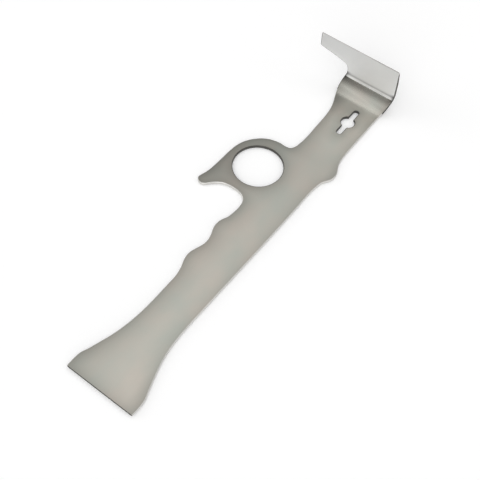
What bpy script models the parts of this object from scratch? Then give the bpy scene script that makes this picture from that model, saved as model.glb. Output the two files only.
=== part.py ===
# Hive tool: one stainless sheet, cut to outline, ground at both ends and folded up into a hook.
# Metres, +Z up. It lies on its flat underside, the scraper towards -Y and the hook rising at +Y.

import math

import bmesh
import bpy
from mathutils import Vector

mm = 0.001

# Driving dimensions
thickness = 2.5 * mm
overallLength = 280.0 * mm          # scraper edge to the back of the hook
scraperLand = 0.8 * mm              # steel left at the scraper's edge
scraperBevel = 11.0 * mm            # length ground away on the underside
fingerHoleRadius = 16.9 * mm
fingerHoleOffset = 24.6 * mm        # from the shaft's centreline to the hole, towards -X
bendStart = 86.3 * mm               # from the hole's centre to the start of the fold
bendInnerRadius = 11.1 * mm
bendAngle = math.radians(90.0)
hookRise = 34.7 * mm                # from the top face to the hook's edge
hookLand = 0.6 * mm                 # steel left at the hook's edge
hookBevel = 12.0 * mm               # length ground away on the back of the hook
slotCentre = Vector((1.45 * mm, 69.0 * mm))
slotRadius = 4.8 * mm               # the hole for the nail's head
slotHalfWidth = 1.9 * mm            # the slots for its shank, one on each side of the hole
slotHalfLength = 12.6 * mm
edgeBreak = 0.25 * mm               # small chamfer left by tumbling

# Fineness
outlineSteps = 4                    # edges between two outline points
foldSteps = 12
roundSteps = 40

# Worked out from them
bendNeutral = bendInnerRadius + thickness / 2
bendLength = bendNeutral * bendAngle
backFace = bendStart + bendInnerRadius + thickness
scraperEdge = backFace - overallLength
hookEdge = bendStart + bendLength + hookRise - bendInnerRadius


def up(height):
    """Where a height in mm above the top face lies along the flat blank, past the fold, in mm."""
    return (bendStart + bendLength - bendInnerRadius) / mm + height


# Outline of the flat blank in millimetres, anticlockwise. X is from the shaft's centreline and
# Y from the finger hole's centre. A third value is a corner's radius; other points are smooth.
rightSide = [
    (23.1, scraperEdge / mm, 1.2),
    (23.1, -172.0), (22.6, -168.6), (20.8, -163.3), (18.2, -155.2), (15.8, -146.9),
    (14.4, -140.0), (13.5, -132.0), (13.1, -122.0), (13.3, -105.0), (14.0, -71.0),
    (14.6, -37.0), (14.8, -12.0), (14.7, 2.0), (15.3, 9.5), (16.3, 14.4), (18.2, 17.8),
    (19.8, 20.8), (20.3, 24.0), (19.8, 27.3), (18.3, 30.8), (16.7, 34.9), (15.9, 39.8),
    (15.5, 53.0), (15.6, 70.0), (15.6, 80.0), (15.9, 86.3), (17.2, 95.0), (18.1, 101.0),
    (18.6, up(11.1)), (18.5, up(18.0)),
    (18.0, hookEdge / mm, 1.6),
]
hookFinger = [
    (-43.8, hookEdge / mm, 1.0),
    (-43.5, up(23.3), 1.0),
    (-24.5, up(19.4)), (-21.3, up(18.1)), (-19.9, up(15.7)), (-19.7, up(11.9)),
]
neckAndRing = [
    (-20.4, 103.0), (-21.3, 99.0), (-21.7, 95.0), (-21.2, 90.5), (-19.2, 84.4), (-17.1, 79.2), (-15.7, 74.7), (-14.8, 70.4),
    (-14.1, 63.0), (-13.8, 53.0), (-13.5, 40.0), (-13.9, 33.5), (-14.9, 28.4), (-16.6, 25.9),
    (-19.2, 25.1), (-24.6, 25.1), (-29.4, 24.2), (-34.2, 22.2), (-39.5, 17.9), (-43.7, 12.4),
    (-46.0, 6.5), (-47.0, 0.0), (-47.3, -9.6), (-47.6, -17.4), (-48.2, -23.6), (-49.7, -29.4),
    (-50.0, -31.2), (-48.7, -33.2), (-46.4, -34.1), (-43.9, -33.6), (-41.0, -30.7),
    (-38.1, -27.9), (-33.9, -25.3), (-30.2, -24.5), (-26.5, -24.2), (-21.8, -24.7),
    (-18.5, -26.0), (-15.8, -28.9), (-14.7, -33.4),
]
gripAndFlare = [
    (-14.8, -39.0), (-15.7, -44.6), (-17.6, -49.0), (-18.2, -53.0), (-17.7, -56.6),
    (-15.7, -62.0), (-14.8, -66.6), (-15.4, -71.2), (-17.2, -76.4), (-18.2, -81.5),
    (-17.4, -86.2), (-15.3, -92.2), (-14.3, -98.0), (-14.2, -106.0), (-14.2, -120.0),
    (-14.7, -130.2), (-15.9, -139.9), (-17.9, -149.5), (-20.2, -156.8), (-22.8, -164.7),
    (-24.7, -169.6), (-25.1, -173.2),
    (-25.1, scraperEdge / mm, 1.2),
]


def outlineKnots(points):
    """Turns the outline's points into Bezier knots: place, and a corner's handle aim or None."""
    knots = []
    for i, point in enumerate(points):
        here = Vector(point[:2]) * mm
        if len(point) == 2:
            knots.append((here, None, None))
            continue
        before = (Vector(points[i - 1][:2]) * mm - here).normalized() * point[2] * mm
        after = (Vector(points[(i + 1) % len(points)][:2]) * mm - here).normalized() * point[2] * mm
        knots.append((here + before, None, here + before * 0.45))
        knots.append((here + after, here + after * 0.45, None))
    return knots


def addOutline(curve):
    knots = outlineKnots(rightSide + hookFinger + neckAndRing + gripAndFlare)
    spline = curve.splines.new("BEZIER")
    spline.bezier_points.add(len(knots) - 1)
    spline.use_cyclic_u = True
    spline.resolution_u = outlineSteps
    for point, (place, aimBefore, aimAfter) in zip(spline.bezier_points, knots):
        corner = aimBefore is not None or aimAfter is not None
        point.co = place.to_3d()
        point.handle_left_type = "VECTOR" if corner else "AUTO"
        point.handle_right_type = "VECTOR" if corner else "AUTO"
        if aimBefore is not None:
            point.handle_left_type = "FREE"
            point.handle_left = aimBefore.to_3d()
        if aimAfter is not None:
            point.handle_right_type = "FREE"
            point.handle_right = aimAfter.to_3d()


def addHole(curve, places):
    spline = curve.splines.new("POLY")
    spline.points.add(len(places) - 1)
    spline.use_cyclic_u = True
    for point, place in zip(spline.points, places):
        point.co = (place.x, place.y, 0.0, 1.0)


def arc(centre, radius, start, end, steps):
    angles = [math.radians(start + (end - start) * i / steps) for i in range(steps + 1)]
    return [centre + Vector((math.cos(a), math.sin(a))) * radius for a in angles]


def nailSlot():
    """A round hole with a round-ended slot running out of it both ways along the neck."""
    mouth = math.degrees(math.asin(slotHalfWidth / slotRadius))
    end = Vector((0.0, slotHalfLength - slotHalfWidth))
    places = arc(slotCentre + end, slotHalfWidth, 0.0, 180.0, 10)
    places += arc(slotCentre, slotRadius, 90.0 + mouth, 270.0 - mouth, 12)
    places += arc(slotCentre - end, slotHalfWidth, 180.0, 360.0, 10)
    places += arc(slotCentre, slotRadius, 270.0 + mouth, 450.0 - mouth, 12)
    return places


def flatBlank():
    """The cut sheet before folding, with its top face at z = 0."""
    curve = bpy.data.curves.new("blank", "CURVE")
    curve.dimensions = "2D"
    curve.fill_mode = "BOTH"
    curve.extrude = thickness / 2 - edgeBreak
    curve.bevel_depth = edgeBreak
    curve.bevel_resolution = 0
    curve.offset = -edgeBreak
    addOutline(curve)
    hole = Vector((-fingerHoleOffset, 0.0))
    addHole(curve, arc(hole, fingerHoleRadius, 0.0, 360.0 - 360.0 / roundSteps, roundSteps - 1))
    addHole(curve, nailSlot())
    guide = bpy.data.objects.new("blank", curve)
    cutters.objects.link(guide)
    guide.location.z = -thickness / 2
    bpy.context.view_layer.update()
    evaluated = guide.evaluated_get(bpy.context.evaluated_depsgraph_get())
    mesh = bpy.data.meshes.new_from_object(evaluated)
    mesh.transform(guide.matrix_world)
    bpy.data.objects.remove(guide)
    return mesh


def remainingSteel(y):
    """How much of the sheet's thickness the two ground bevels leave, from 0 to 1."""
    left = 1.0
    for edge, land, length in (
        (scraperEdge, scraperLand, scraperBevel),
        (hookEdge, hookLand, hookBevel),
    ):
        share = land / thickness
        left = min(left, share + (1.0 - share) * abs(y - edge) / length)
    return left


def folded(place):
    """Grinds a point of the blank thinner near the ends, then carries it round the fold."""
    z = place.z * remainingSteel(place.y)
    along = place.y - bendStart
    if along <= 0.0:
        return Vector((place.x, place.y, z))
    angle = min(along / bendNeutral, bendAngle)
    beyond = max(0.0, along - bendLength)
    radius = bendInnerRadius - z
    return Vector((
        place.x,
        bendStart + radius * math.sin(angle) + beyond * math.cos(angle),
        bendInnerRadius - radius * math.cos(angle) + beyond * math.sin(angle),
    ))


def cutAcross(shape, y):
    everything = shape.verts[:] + shape.edges[:] + shape.faces[:]
    bmesh.ops.bisect_plane(shape, geom=everything, dist=1e-7, plane_co=(0, y, 0), plane_no=(0, 1, 0))


def steel():
    material = bpy.data.materials.new("stainless_steel")
    material.use_nodes = True
    surface = material.node_tree.nodes["Principled BSDF"]
    surface.inputs["Base Color"].default_value = (0.40, 0.39, 0.37, 1.0)
    surface.inputs["Metallic"].default_value = 1.0
    surface.inputs["Roughness"].default_value = 0.35
    return material


def makeToolPlate():
    mesh = flatBlank()
    shape = bmesh.new()
    shape.from_mesh(mesh)
    bmesh.ops.remove_doubles(shape, verts=shape.verts, dist=1e-6)
    cutAcross(shape, scraperEdge + scraperBevel)
    cutAcross(shape, hookEdge - hookBevel)
    for step in range(foldSteps + 1):
        cutAcross(shape, bendStart + bendLength * step / foldSteps)
    bmesh.ops.triangulate(shape, faces=shape.faces)
    for vertex in shape.verts:
        vertex.co = folded(vertex.co)
    bmesh.ops.recalc_face_normals(shape, faces=shape.faces)
    shape.to_mesh(mesh)
    shape.free()
    mesh.name = "tool_plate"
    mesh.materials.clear()
    mesh.materials.append(steel())
    mesh.shade_smooth()
    mesh.set_sharp_from_angle(angle=math.radians(25.0))
    plate = bpy.data.objects.new("tool_plate", mesh)
    parts.objects.link(plate)
    return plate


def standOnBase(plate):
    """Puts the frame's origin under the middle of the part's box."""
    places = [vertex.co for vertex in plate.data.vertices]
    low = Vector([min(place[i] for place in places) for i in range(3)])
    high = Vector([max(place[i] for place in places) for i in range(3)])
    plate.location = (-(low.x + high.x) / 2, -(low.y + high.y) / 2, -low.z)


for old in list(bpy.data.objects):
    bpy.data.objects.remove(old)

parts = bpy.data.collections.new("hive_tool")
cutters = bpy.data.collections.new("cutters")
bpy.context.scene.collection.children.link(parts)
bpy.context.scene.collection.children.link(cutters)

toolPlate = makeToolPlate()
standOnBase(toolPlate)
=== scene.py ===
import math

import bmesh
import bpy
from mathutils import Matrix, Vector
from mathutils.kdtree import KDTree


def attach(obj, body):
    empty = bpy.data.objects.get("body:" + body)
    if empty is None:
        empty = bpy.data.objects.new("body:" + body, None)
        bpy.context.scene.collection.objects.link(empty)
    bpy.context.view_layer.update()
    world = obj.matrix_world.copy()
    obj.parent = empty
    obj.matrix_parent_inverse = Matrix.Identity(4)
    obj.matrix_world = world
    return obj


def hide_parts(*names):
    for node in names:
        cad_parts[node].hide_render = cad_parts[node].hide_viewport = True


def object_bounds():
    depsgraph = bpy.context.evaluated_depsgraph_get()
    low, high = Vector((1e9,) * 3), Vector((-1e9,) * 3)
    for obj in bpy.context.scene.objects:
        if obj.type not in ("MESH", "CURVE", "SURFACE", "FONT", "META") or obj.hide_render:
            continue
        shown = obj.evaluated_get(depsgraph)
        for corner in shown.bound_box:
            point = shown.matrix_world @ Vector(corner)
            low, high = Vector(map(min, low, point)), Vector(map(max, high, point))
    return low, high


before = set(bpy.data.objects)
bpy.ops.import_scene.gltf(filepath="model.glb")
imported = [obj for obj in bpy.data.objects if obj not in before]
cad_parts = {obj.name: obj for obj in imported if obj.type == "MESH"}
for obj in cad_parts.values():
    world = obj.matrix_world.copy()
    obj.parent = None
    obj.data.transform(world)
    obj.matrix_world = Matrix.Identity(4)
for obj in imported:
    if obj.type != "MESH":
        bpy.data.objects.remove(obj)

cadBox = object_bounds()
mm = 0.001

# The cut sheet, in millimetres. X is from the shaft's centreline, Y from the finger hole's centre.
sheet = dict(
    thickness=2.5,
    scraperLand=0.8,         # steel left at the scraper's edge
    scraperBevel=11.0,
    fingerHole=(-24.6, 0.0),
    fingerRadius=16.9,
    bendStart=85.2,
    bendInner=12.2,
    foldArcs=[(0.8, 9.0), (15.5, 57.0), (0.9, 24.0)],  # mm of sheet, and degrees that it turns
    bladeStart=102.0,        # where the hook's dressed inner face begins
    hookSides=90.0,          # where the hook's sides, painted dark as shade, begin
    hookTip=1.5,             # how much of the hook's edge the belt has brightened
    hookRise=34.7,
    hookLand=0.6,
    hookBevel=12.0,
    slotCentre=(1.45, 69.0),
    slotRadius=4.8,
    slotHalfWidth=1.9,
    slotHalfLength=12.6,
    slotMargin=(6.0, 13.6),  # a wall this near the slot's centre, across and in all, is the slot's
    holeMargin=1.0,
    cornerHandle=0.45,       # where a rounded corner's handles aim, as a share of its radius
    edgeRound=0.42,          # rounding that tumbling leaves on the cut edges
    crown=0.16,              # how far polishing pulls the faces down at the outline
    crownReach=6.0,
    cell=2.0,                # the faces' grid, and its finer step through the fold
    foldCell=0.5,
    gridSides=(-49.0, 22.5),
    gridInset=1.0,           # how far the grid stops short of the two edges
    outlineSteps=10,
    edgeSteps=3,
    holeSteps=144,
    slotEndSteps=20,
    slotMiddleSteps=24,
    weld=0.001,              # points nearer than this are one
    sharpAngle=35.0,
    flatNormal=0.999,        # a face whose normal leans further is part of the cut edge
    scraperTip=0.5,
)
# The finishes, in the order of their slots on the steel.
finishOrder = ["satin", "tumbled", "ground", "matt", "paintedShadeWall"]

sheet["overall"] = (cadBox[1].y - cadBox[0].y) / mm
bendNeutral = sheet["bendInner"] + sheet["thickness"] / 2
bendLength = bendNeutral * math.pi / 2
backFace = sheet["bendStart"] + sheet["bendInner"] + sheet["thickness"]
scraperEdge = backFace - sheet["overall"]
hookEdge = sheet["bendStart"] + bendLength + sheet["hookRise"] - sheet["bendInner"]


def up(height):  # where a height above the top face lies along the flat sheet, past the fold
    return sheet["bendStart"] + bendLength - sheet["bendInner"] + height


# Anticlockwise from the scraper's right corner. A third value is a corner's radius.
outline = [
    (23.1, scraperEdge, 1.2),
    (23.1, -172.0), (22.6, -168.6), (20.8, -163.3), (18.2, -155.2), (15.8, -146.9),
    (14.4, -140.0), (13.5, -132.0), (13.1, -122.0), (13.3, -105.0), (14.0, -71.0),
    (14.6, -37.0), (14.8, -12.0), (14.7, 2.0), (15.3, 9.5), (16.3, 14.4), (18.2, 17.8),
    (19.8, 20.8), (20.3, 24.0), (19.8, 27.3), (18.3, 30.8), (16.7, 34.9), (15.9, 39.8),
    (15.5, 53.0), (15.6, 70.0), (15.6, 80.0), (15.9, 86.3), (17.2, 95.0), (18.1, 101.0),
    (18.6, up(11.1)), (18.5, up(18.0)),
    (18.0, hookEdge, 1.6),
    (-43.8, hookEdge, 1.0),
    (-43.5, up(23.3), 1.0),
    (-24.5, up(19.4)), (-21.3, up(18.1)), (-19.9, up(15.7)), (-19.7, up(11.9)),
    (-20.4, 103.0), (-21.3, 99.0), (-21.7, 95.0), (-21.2, 90.5), (-19.2, 84.4),
    (-17.1, 79.2), (-15.7, 74.7), (-14.8, 70.4), (-14.1, 63.0), (-13.8, 53.0), (-13.5, 40.0),
    (-13.9, 33.5), (-14.9, 28.4), (-16.6, 25.9), (-19.2, 25.1), (-24.6, 25.1), (-29.4, 24.2),
    (-34.2, 22.2), (-39.5, 17.9), (-43.7, 12.4), (-46.0, 6.5), (-47.0, 0.0), (-47.3, -9.6),
    (-47.6, -17.4), (-48.2, -23.6), (-49.7, -29.4), (-50.0, -31.2), (-48.7, -33.2),
    (-46.4, -34.1), (-43.9, -33.6), (-41.0, -30.7), (-38.1, -27.9), (-33.9, -25.3),
    (-30.2, -24.5), (-26.5, -24.2), (-21.8, -24.7), (-18.5, -26.0), (-15.8, -28.9),
    (-14.7, -33.4), (-14.8, -39.0), (-15.7, -44.6), (-17.6, -49.0), (-18.2, -53.0),
    (-17.7, -56.6), (-15.7, -62.0), (-14.8, -66.6), (-15.4, -71.2), (-17.2, -76.4),
    (-18.2, -81.5), (-17.4, -86.2), (-15.3, -92.2), (-14.3, -98.0), (-14.2, -106.0),
    (-14.2, -120.0), (-14.7, -130.2), (-15.9, -139.9), (-17.9, -149.5), (-20.2, -156.8),
    (-22.8, -164.7), (-24.7, -169.6), (-25.1, -173.2),
    (-25.1, scraperEdge, 1.2),
]


def outlineKnots(points):  # place and, at a rounded corner, where the handle on that side aims
    knots = []
    for i, point in enumerate(points):
        here = Vector(point[:2])
        if len(point) == 2:
            knots.append((here, None, None))
            continue
        before = (Vector(points[i - 1][:2]) - here).normalized() * point[2]
        after = (Vector(points[(i + 1) % len(points)][:2]) - here).normalized() * point[2]
        knots.append((here + before, None, here + before * sheet["cornerHandle"]))
        knots.append((here + after, here + after * sheet["cornerHandle"], None))
    return knots


def addOutline(curve):
    knots = outlineKnots(outline)
    spline = curve.splines.new("BEZIER")
    spline.bezier_points.add(len(knots) - 1)
    spline.use_cyclic_u = True
    spline.resolution_u = sheet["outlineSteps"]
    for point, (place, aimBefore, aimAfter) in zip(spline.bezier_points, knots):
        corner = aimBefore is not None or aimAfter is not None
        point.co = place.to_3d()
        point.handle_left_type = "VECTOR" if corner else "AUTO"
        point.handle_right_type = "VECTOR" if corner else "AUTO"
        if aimBefore is not None:
            point.handle_left_type = "FREE"
            point.handle_left = aimBefore.to_3d()
        if aimAfter is not None:
            point.handle_right_type = "FREE"
            point.handle_right = aimAfter.to_3d()


def addHole(curve, places):
    spline = curve.splines.new("POLY")
    spline.points.add(len(places) - 1)
    spline.use_cyclic_u = True
    for point, place in zip(spline.points, places):
        point.co = (place.x, place.y, 0.0, 1.0)


def arc(centre, radius, start, end, steps):
    angles = [math.radians(start + (end - start) * i / steps) for i in range(steps + 1)]
    return [centre + Vector((math.cos(a), math.sin(a))) * radius for a in angles]


def fingerHole():
    count = sheet["holeSteps"]
    return arc(Vector(sheet["fingerHole"]), sheet["fingerRadius"], 0.0, 360.0 - 360.0 / count, count - 1)


def nailSlot():  # a round hole with a narrow arm on either side of it
    width, radius = sheet["slotHalfWidth"], sheet["slotRadius"]
    ends, middles = sheet["slotEndSteps"], sheet["slotMiddleSteps"]
    centre = Vector(sheet["slotCentre"])
    mouth = math.degrees(math.asin(width / radius))
    end = Vector((0.0, sheet["slotHalfLength"] - width))
    places = arc(centre + end, width, 0.0, 180.0, ends)
    places += arc(centre, radius, 90.0 + mouth, 270.0 - mouth, middles)
    places += arc(centre - end, width, 180.0, 360.0, ends)
    places += arc(centre, radius, 270.0 + mouth, 450.0 - mouth, middles)
    return places


def cutSheet():  # the flat blank with rounded edges, its top face at z = 0
    curve = bpy.data.curves.new("blank", "CURVE")
    curve.dimensions = "2D"
    curve.fill_mode = "BOTH"
    curve.extrude = sheet["thickness"] / 2 - sheet["edgeRound"]
    curve.bevel_depth = sheet["edgeRound"]
    curve.bevel_resolution = sheet["edgeSteps"]
    curve.offset = -sheet["edgeRound"]
    addOutline(curve)
    addHole(curve, fingerHole())
    addHole(curve, nailSlot())
    blank = bpy.data.objects.new("blank", curve)
    bpy.context.scene.collection.objects.link(blank)
    blank.location.z = -sheet["thickness"] / 2
    bpy.context.view_layer.update()
    evaluated = blank.evaluated_get(bpy.context.evaluated_depsgraph_get())
    mesh = bpy.data.meshes.new_from_object(evaluated)
    mesh.transform(blank.matrix_world)
    bpy.data.objects.remove(blank)
    return mesh


def steps(low, high, size):
    count = max(1, round((high - low) / size))
    return [low + (high - low) * i / count for i in range(count + 1)]


def gridLines():  # where the faces are cut across and along the sheet, with a line at each change
    bendStart, bendEnd = sheet["bendStart"], sheet["bendStart"] + bendLength
    scraperTop, hookFoot = scraperEdge + sheet["scraperBevel"], hookEdge - sheet["hookBevel"]
    cell, inset = sheet["cell"], sheet["gridInset"]
    along = steps(scraperTop, bendStart, cell)
    along += steps(scraperEdge + inset, scraperTop - inset, cell)
    along += steps(bendStart, bendEnd, sheet["foldCell"])[1:]
    along += steps(bendEnd, hookFoot, cell)[1:]
    along += steps(hookFoot, hookEdge - inset, cell)[1:]
    return steps(*sheet["gridSides"], cell), sorted(along)


def isWall(face):  # whether a face is part of the cut edge, and not of the sheet's two sides
    return abs(face.normal.z) < sheet["flatNormal"]


def cutGrid(shape):  # cuts both faces into even cells, and rubs out the fill's own edges
    across, along = gridLines()
    for normal, places in ((Vector((1, 0, 0)), across), (Vector((0, 1, 0)), along)):
        for place in places:
            everything = shape.verts[:] + shape.edges[:] + shape.faces[:]
            bmesh.ops.bisect_plane(
                shape, geom=everything, dist=sheet["weld"] / 10, plane_co=normal * place, plane_no=normal
            )

    def cellOf(face):
        middle = face.calc_center_median()
        column = sum(place < middle.x for place in across)
        row = sum(place < middle.y for place in along)
        return column, row

    flats = [face for face in shape.faces if not isWall(face)]
    cells = {face: cellOf(face) for face in flats}
    spare = [
        edge for edge in shape.edges
        if len(edge.link_faces) == 2
        and all(face in cells for face in edge.link_faces)
        and cells[edge.link_faces[0]] == cells[edge.link_faces[1]]
    ]
    bmesh.ops.dissolve_edges(shape, edges=spare, use_verts=True)


def remainingSteel(y):  # the share of the thickness that the two ground bevels leave
    left = 1.0
    for edge, land, length in (
        (scraperEdge, sheet["scraperLand"], sheet["scraperBevel"]),
        (hookEdge, sheet["hookLand"], sheet["hookBevel"]),
    ):
        share = land / sheet["thickness"]
        left = min(left, share + (1.0 - share) * abs(y - edge) / length)
    return left


def turned(along):  # angle and place on the fold's neutral line, for a length past its start
    angle, y, z = 0.0, 0.0, 0.0
    for length, degrees in sheet["foldArcs"]:
        part = min(along, length)
        radius = length / math.radians(degrees)
        after = angle + part / radius
        y += radius * (math.sin(after) - math.sin(angle))
        z += radius * (math.cos(angle) - math.cos(after))
        angle = after
        along -= part
    return angle, y, z + along


def folded(place):
    along = place.y - sheet["bendStart"]
    if along <= 0.0:
        return place.copy()
    angle, y, z = turned(min(along, bendLength))
    endY, endZ = turned(bendLength)[1:]
    stretchY, stretchZ = bendNeutral / endY, bendNeutral / endZ
    depth = place.z + sheet["thickness"] / 2
    beyond = max(0.0, along - bendLength)
    return Vector((
        place.x,
        sheet["bendStart"] + y * stretchY - depth * math.sin(angle),
        z * stretchZ - sheet["thickness"] / 2 + depth * math.cos(angle) + beyond,
    ))


def worn(place, distance):  # grinds the ends thinner and draws the faces down near the outline
    crown = sheet["crown"] * math.exp(-distance / sheet["crownReach"])
    middle = -sheet["thickness"] / 2
    z = middle + (place.z - middle) * (1.0 - crown / (sheet["thickness"] / 2))
    return Vector((place.x, place.y, z * remainingSteel(place.y)))


def isPaintedShadeWall(place):  # whether a wall is painted dark as shade: walls no belt has reached, in the holes, on the hook's sides and at the scraper's tip
    across, reach = sheet["slotMargin"]
    toSlot = place.xy - Vector(sheet["slotCentre"])
    toHole = place.xy - Vector(sheet["fingerHole"])
    inHole = toHole.length < sheet["fingerRadius"] + sheet["holeMargin"]
    inSlot = toSlot.length < reach and abs(toSlot.x) < across
    onHook = sheet["hookSides"] < place.y < hookEdge - sheet["hookTip"]
    return inHole or inSlot or onHook or place.y < scraperEdge + sheet["scraperTip"]


def finishFor(face):
    middle = face.calc_center_median()
    if isWall(face):
        if isPaintedShadeWall(middle):
            return "paintedShadeWall"
        return "ground" if middle.y > hookEdge - sheet["hookTip"] else "tumbled"
    if face.normal.z > 0.0:
        return "matt" if middle.y > sheet["bladeStart"] else "satin"
    onScraper = middle.y < scraperEdge + sheet["scraperBevel"]
    onHook = middle.y > hookEdge - sheet["hookBevel"]
    return "ground" if onScraper or onHook else "satin"


def formSheet(shape):  # wears and folds the blank, and keeps each point's flat place for the finishes
    walls = [vertex for vertex in shape.verts if any(isWall(face) for face in vertex.link_faces)]
    rim = KDTree(len(walls))
    for i, vertex in enumerate(walls):
        rim.insert((vertex.co.x, vertex.co.y, 0.0), i)
    rim.balance()
    flat = shape.verts.layers.float_vector.new("flat")
    inset = shape.verts.layers.float.new("inset")
    for vertex in shape.verts:
        distance = rim.find((vertex.co.x, vertex.co.y, 0.0))[2]
        vertex[flat] = vertex.co
        vertex[inset] = distance
        vertex.co = folded(worn(vertex.co, distance))


def makePlate():
    mesh = cutSheet()
    shape = bmesh.new()
    shape.from_mesh(mesh)
    bmesh.ops.remove_doubles(shape, verts=shape.verts, dist=sheet["weld"])
    bmesh.ops.recalc_face_normals(shape, faces=shape.faces)
    cutGrid(shape)
    for face in shape.faces:
        face.material_index = finishOrder.index(finishFor(face))
        face.smooth = True
    formSheet(shape)
    shape.to_mesh(mesh)
    shape.free()
    mesh.transform(Matrix.Scale(mm, 4))
    mesh.name = "tool_steel"
    plate = bpy.data.objects.new("tool_steel", mesh)
    bpy.context.scene.collection.objects.link(plate)
    across = [vertex.co.x for vertex in mesh.vertices]
    plate.location = (
        (cadBox[0].x + cadBox[1].x - min(across) - max(across)) / 2,
        cadBox[1].y - backFace * mm,
        sheet["thickness"] * mm,
    )
    mesh.set_sharp_from_angle(angle=math.radians(sheet["sharpAngle"]))
    weigh = plate.modifiers.new("even_shading", "WEIGHTED_NORMAL")
    weigh.weight = 100       # favours the large faces
    weigh.keep_sharp = True
    return plate


class Value:  # a node's output that sums can be written on
    def __init__(self, nodes, socket):
        self.nodes = nodes
        self.socket = socket

    def join(self, operation, first, second):
        return self.nodes.add("ShaderNodeMath", dict(operation=operation), {0: first, 1: second})

    def __add__(self, other):
        return self.join("ADD", self, other)

    def __radd__(self, other):
        return self.join("ADD", other, self)

    def __sub__(self, other):
        return self.join("SUBTRACT", self, other)

    def __rsub__(self, other):
        return self.join("SUBTRACT", other, self)

    def __mul__(self, other):
        return self.join("MULTIPLY", self, other)

    def __rmul__(self, other):
        return self.join("MULTIPLY", other, self)

    def __truediv__(self, other):
        return self.join("DIVIDE", self, other)

    def __rtruediv__(self, other):
        return self.join("DIVIDE", other, self)

    def exp(self):
        return self.nodes.add("ShaderNodeMath", dict(operation="EXPONENT"), {0: self})


class Nodes:  # a node tree, with one way of adding to it
    def __init__(self, tree):
        self.tree = tree

    def add(self, kind, settings=None, sockets=None, output=0):
        node = self.tree.nodes.new(kind)
        for name, value in (settings or {}).items():
            if name == "stops":
                self.setStops(node.color_ramp, value)
            else:
                setattr(node, name, value)
        for name, value in (sockets or {}).items():
            self.feed(node.inputs[name], value)
        return Value(self, node.outputs[output])

    def feed(self, socket, value):
        if isinstance(value, Value):
            self.tree.links.new(value.socket, socket)
        else:
            socket.default_value = value

    def setStops(self, ramp, stops):
        while len(ramp.elements) < len(stops):
            ramp.elements.new(1.0)
        for element, (position, shade) in zip(ramp.elements, stops):
            element.position = position
            element.color = (shade, shade, shade, 1.0)

    def ramp(self, value, stops):
        return self.add("ShaderNodeValToRGB", dict(stops=stops), {0: value})


class Finish(Nodes):  # a steel finish: a material whose patterns lie on the flat sheet
    def __init__(self, name, **fixed):
        self.material = bpy.data.materials.new(name)
        self.material.use_nodes = True
        super().__init__(self.material.node_tree)
        self.surface = self.tree.nodes["Principled BSDF"]
        for socket, value in fixed.items():
            self.surface.inputs[socket.replace("_", " ")].default_value = value

    def drive(self, socket, value):
        self.feed(self.surface.inputs[socket], value)

    def flat(self):  # the place on the flat sheet, in mm
        return self.add("ShaderNodeAttribute", dict(attribute_name="flat"), output=1)

    def across(self):
        return self.add("ShaderNodeSeparateXYZ", None, {0: self.flat()}, output=0)

    def along(self):
        return self.add("ShaderNodeSeparateXYZ", None, {0: self.flat()}, output=1)

    def nearRim(self, reach):  # 1 at the outline, dying away over a reach in mm
        inset = self.add("ShaderNodeAttribute", dict(attribute_name="inset"), output=2)
        return (inset / -reach).exp()

    def marked(self, place, marks, brightest=2.0):  # a number that follows marks along the sheet
        low, high = marks[0][0], marks[-1][0]
        stops = [((at - low) / (high - low), shade / brightest) for at, shade in marks]
        return brightest * self.ramp((place - low) / (high - low), stops)

    def noise(self, stretch, detail, roughness):  # 0 to 1, even about a half
        place = self.add(
            "ShaderNodeVectorMath", dict(operation="MULTIPLY"), {0: self.flat(), 1: stretch}
        )
        return self.add(
            "ShaderNodeTexNoise", dict(noise_dimensions="3D"),
            {"Vector": place, "Scale": 1.0, "Detail": detail, "Roughness": roughness},
        )

    def blend(self, factor, first, second):
        return self.add(
            "ShaderNodeMix", dict(data_type="RGBA"), {0: factor, 6: first, 7: second}, output=2
        )

    def shaded(self, colour, amount):  # a colour, dimmed or brightened by an amount
        return self.add(
            "ShaderNodeVectorMath", dict(operation="SCALE"), {0: colour, "Scale": amount}
        )

    def bump(self, height, depth, strength=0.5):  # depth in mm
        return self.add(
            "ShaderNodeBump", None, {"Height": height, "Distance": depth * mm, "Strength": strength}
        )


# Marks are pairs: mm along or across the flat sheet, and how bright the steel is painted there.
satin = dict(
    warm=(0.490, 0.458, 0.408, 1.0),
    cool=(0.456, 0.464, 0.418, 1.0),
    patches=(0.045, 0.03, 0.05),             # cycles per mm, as are the grain and the hairlines
    patchDetail=(3.0, 0.5),                  # detail and roughness of the noise
    patchCut=[(0.35, 0.0), (0.65, 1.0)],
    grain=(5.0, 0.12, 5.0),
    grainDetail=(4.0, 0.65),
    hairlines=(1.6, 0.02, 1.6),
    hairlineDetail=(6.0, 0.8),
    hairlineCut=[(0.66, 0.0), (0.72, 1.0)],  # the part of the noise that shows as a scratch
    shade=(1.04, 0.08, 0.04),                # brightness, and what grain and hairlines take off it
    roughness=0.33,
    burnished=0.22,          # roughness where the press tool slid
    slid=[(85.44, 0.0), (87.36, 1.0)],
    grainRoughness=0.06,
    patchRoughness=0.04,
    grainDepth=0.012,        # mm
    hairlineDepth=0.6,       # as a share of the grain's
    rimPaintedShade=0.24,       # painted shade: how much darker the sheet is at its outline
    rimReach=5.0,            # mm
    # painted light and shade: the fold's bright and dark bands are reflections set into the base colour
    # along the sheet
    marks=[
        (26.0, 1.0), (45.0, 1.10), (66.0, 1.06), (76.0, 0.96), (85.2, 0.95), (86.2, 1.0),
        (89.0, 1.03), (92.0, 1.10), (94.0, 0.92), (97.0, 0.82), (99.0, 0.78), (101.0, 0.72),
        (104.0, 0.72),
    ],
    skew=0.12,               # how far the fold's painted bands lean along the sheet
    # painted shade: the sheet darker towards its left side, as its reflections fall
    paintedSideShade=[(-48.0, 0.70), (-35.0, 0.76), (-24.0, 0.81), (-15.0, 0.92), (-8.0, 0.97), (0.0, 1.0),
           (14.0, 1.0), (23.0, 0.84)],
)

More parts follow.
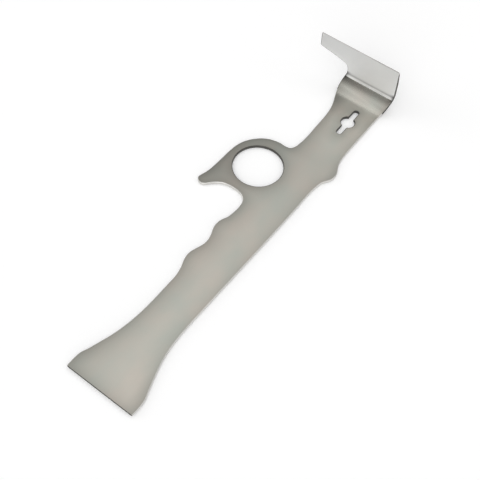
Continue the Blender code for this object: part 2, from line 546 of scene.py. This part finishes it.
matt = dict(
    warm=(0.86, 0.855, 0.84, 1.0),
    cool=(0.83, 0.835, 0.825, 1.0),
    patches=(0.06, 0.08, 0.06),
    patchDetail=(2.0, 0.5),
    grain=(4.0, 0.5, 4.0),
    grainDetail=(4.0, 0.65),
    shade=(1.03, 0.06),
    roughness=0.60,
    grainRoughness=0.08,
    grainDepth=0.015,
    # painted highlight: the bright strip at the blade's foot, a painted dark line after it, and the blade
    # slowly darker towards its top
    marks=[
        (101.3, 0.90), (102.0, 1.25), (103.1, 1.60), (103.9, 1.32), (105.3, 0.72), (106.3, 1.0),
        (107.5, 1.10), (112.0, 1.06), (119.0, 1.0), (131.0, 0.93),
    ],
    # painted shade: the blade darker towards its left side
    paintedSideShade=[(-44.0, 0.76), (-14.0, 0.86), (4.0, 1.0), (19.0, 1.0)],
)

paintedCreaseEndShade = dict(  # painted shade at both ends of the crease at the hook's foot, near the outline
    marks=[(99.0, 0.0), (101.0, 0.8), (106.0, 0.8), (108.0, 0.0)],
    reach=1.3,
)

# Finishes that are streaks between two shades: streaks in cycles per mm, noise detail and
# roughness, the two shades, and the finish's roughness with what the streaks add to it.
tumbled = dict(
    streaks=(3.0, 3.0, 0.4), detail=(3.0, 0.6), roughness=(0.30, 0.12),
    dark=(0.58, 0.57, 0.55, 1.0), light=(0.74, 0.73, 0.70, 1.0),
)
# painted shade: near-black walls standing in for the shade on the holes' walls, the hook's sides and the
# scraper's tip
paintedShadeWall = dict(
    streaks=(3.0, 3.0, 0.4), detail=(3.0, 0.6), roughness=(0.42, 0.12),
    dark=(0.06, 0.058, 0.052, 1.0), light=(0.13, 0.127, 0.118, 1.0),
)
ground = dict(
    streaks=(6.0, 0.08, 6.0), detail=(5.0, 0.75), roughness=(0.26, 0.14),
    dark=(0.50, 0.49, 0.47, 1.0), light=(0.66, 0.65, 0.63, 1.0),
)
streakDepth = 0.03           # mm


def paintedSheetLight(finish, look, skew=0.0):  # painted light and shade along and across the sheet: the fold's bands, the darker sides and the crease's ends
    along, across = finish.along(), finish.across()
    marks = finish.marked(along + skew * across, look["marks"])
    paintedCreaseShade = finish.marked(along, paintedCreaseEndShade["marks"], 1.0) * finish.nearRim(paintedCreaseEndShade["reach"])
    return marks * finish.marked(across, look["paintedSideShade"]) * (1.0 - paintedCreaseShade)


def satinFinish():  # rolled grain along the tool, faint stains and hairline scratches
    finish = Finish("satin_sheet", Metallic=1.0)
    patch = finish.ramp(finish.noise(satin["patches"], *satin["patchDetail"]), satin["patchCut"])
    grain = finish.noise(satin["grain"], *satin["grainDetail"])
    scratches = finish.noise(satin["hairlines"], *satin["hairlineDetail"])
    hairline = finish.ramp(scratches, satin["hairlineCut"])
    bright, grainShade, hairlineShade = satin["shade"]
    # painted shade at the outline, and painted light and shade along the fold and across the sheet
    rim = 1.0 - satin["rimPaintedShade"] * finish.nearRim(satin["rimReach"])
    shade = rim * paintedSheetLight(finish, satin, satin["skew"])
    shade = shade * (bright - grainShade * grain - hairlineShade * hairline)
    tint = finish.blend(patch, satin["warm"], satin["cool"])
    finish.drive("Base Color", finish.shaded(tint, shade))
    slid = finish.marked(finish.along(), satin["slid"], 1.0)
    sheen = satin["roughness"] + satin["grainRoughness"] * (grain - 0.5) + satin["patchRoughness"] * patch
    finish.drive("Roughness", sheen + (satin["burnished"] - satin["roughness"]) * slid)
    finish.drive("Normal", finish.bump(grain + satin["hairlineDepth"] * hairline, satin["grainDepth"]))
    return finish.material


def mattFinish():  # the hook's inner face, dressed to an even matt
    finish = Finish("matt_blade", Metallic=1.0)
    grain = finish.noise(matt["grain"], *matt["grainDetail"])
    patch = finish.noise(matt["patches"], *matt["patchDetail"])
    bright, grainShade = matt["shade"]
    tint = finish.blend(patch, matt["warm"], matt["cool"])
    # painted highlight and shade along and across the blade
    shade = paintedSheetLight(finish, matt) * (bright - grainShade * grain)
    finish.drive("Base Color", finish.shaded(tint, shade))
    finish.drive("Roughness", matt["roughness"] + matt["grainRoughness"] * (grain - 0.5))
    finish.drive("Normal", finish.bump(grain, matt["grainDepth"]))
    return finish.material


def streakedFinish(name, look):
    finish = Finish(name, Metallic=1.0)
    streak = finish.noise(look["streaks"], *look["detail"])
    least, added = look["roughness"]
    finish.drive("Base Color", finish.blend(streak, look["dark"], look["light"]))
    finish.drive("Roughness", least + added * streak)
    finish.drive("Normal", finish.bump(streak, streakDepth))
    return finish.material


print("cutting and folding the sheet")
toolSteel = makePlate()
print("finishing the steel")
finishes = dict(
    satin=satinFinish(),
    tumbled=streakedFinish("tumbled_edge", tumbled),
    ground=streakedFinish("ground_bevel", ground),
    matt=mattFinish(),
    paintedShadeWall=streakedFinish("painted_shade_edge", paintedShadeWall),
)
for name in finishOrder:
    toolSteel.data.materials.append(finishes[name])
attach(toolSteel, "root")
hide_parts("tool_plate")

studio = dict(
    floorSize=6.0,
    floorShade=0.92,
    floorRoughness=0.9,
    floorGlow=0.14,          # the floor is a light table
    floorGap=0.00002,        # m, so that the floor and the steel don't share a plane
    cameraPlace=(0.1643, -0.2365, 0.4172),
    cameraAim=(0.0145, -0.0138, 0.0025),
    cameraRoll=3.55,
    lens=60.0,
    backdrop=1.0,            # what the camera sees past the floor
    softness=14.0,           # higher makes every lamp's glow smaller
    lamps=[                  # bearing from +X and height in degrees, and brightness
        (-160.0, 18.0, 1.5), (180.0, 18.0, 0.8), (-80.0, 0.0, 2.0), (-50.0, 0.0, 2.4),
        (90.0, 18.0, 0.4), (0.0, 18.0, 1.2), (-150.0, 38.0, 0.7), (-75.0, 38.0, 1.3),
        (30.0, 38.0, 1.0), (-100.0, 58.0, 0.8), (-50.0, 58.0, 0.9), (90.0, 58.0, 0.86),
        (130.0, 58.0, 0.5), (160.0, 76.0, 0.9),
    ],
)


def makeFloor():
    shape = bmesh.new()
    bmesh.ops.create_grid(shape, x_segments=1, y_segments=1, size=studio["floorSize"] / 2)
    mesh = bpy.data.meshes.new("floor")
    shape.to_mesh(mesh)
    shape.free()
    floor = bpy.data.objects.new("floor", mesh)
    floor.location.z = -studio["floorGap"]
    bpy.context.scene.collection.objects.link(floor)
    shade = studio["floorShade"]
    paper = Finish(
        "floor_paper", Roughness=studio["floorRoughness"], Base_Color=(shade, shade, shade, 1.0),
        Emission_Color=(1.0, 1.0, 1.0, 1.0), Emission_Strength=studio["floorGlow"],
    )
    mesh.materials.append(paper.material)


def makeSky():  # a white tent with soft lamps glowing through it
    world = bpy.data.worlds.new("studio")
    world.use_nodes = True
    nodes = Nodes(world.node_tree)
    towards = nodes.add("ShaderNodeTexCoord")
    glow = 0.0
    for bearing, height, brightness in studio["lamps"]:
        a, h = math.radians(bearing), math.radians(height)
        lamp = (math.cos(h) * math.cos(a), math.cos(h) * math.sin(a), math.sin(h))
        facing = nodes.add(
            "ShaderNodeVectorMath", dict(operation="DOT_PRODUCT"), {0: towards, 1: lamp}, output=1
        )
        glow = glow + brightness * (studio["softness"] * (facing - 1.0)).exp()
    seen = nodes.add("ShaderNodeLightPath")
    back = world.node_tree.nodes["Background"]
    nodes.feed(back.inputs["Strength"], seen * studio["backdrop"] + (1.0 - seen) * glow)
    back.inputs["Color"].default_value = (1.0, 1.0, 1.0, 1.0)
    bpy.context.scene.world = world


def makeCamera():
    data = bpy.data.cameras.new("camera")
    data.sensor_width = 36.0
    data.lens = studio["lens"]
    data.clip_start = 0.01
    camera = bpy.data.objects.new("camera", data)
    bpy.context.scene.collection.objects.link(camera)
    place, aim = Vector(studio["cameraPlace"]), Vector(studio["cameraAim"])
    camera.location = place
    camera.rotation_mode = "QUATERNION"
    roll = Matrix.Rotation(math.radians(studio["cameraRoll"]), 4, "Z").to_quaternion()
    camera.rotation_quaternion = (aim - place).to_track_quat("-Z", "Y") @ roll
    bpy.context.scene.camera = camera


print("setting up the studio")
makeFloor()
makeSky()
makeCamera()
bpy.context.scene.view_settings.view_transform = "Standard"
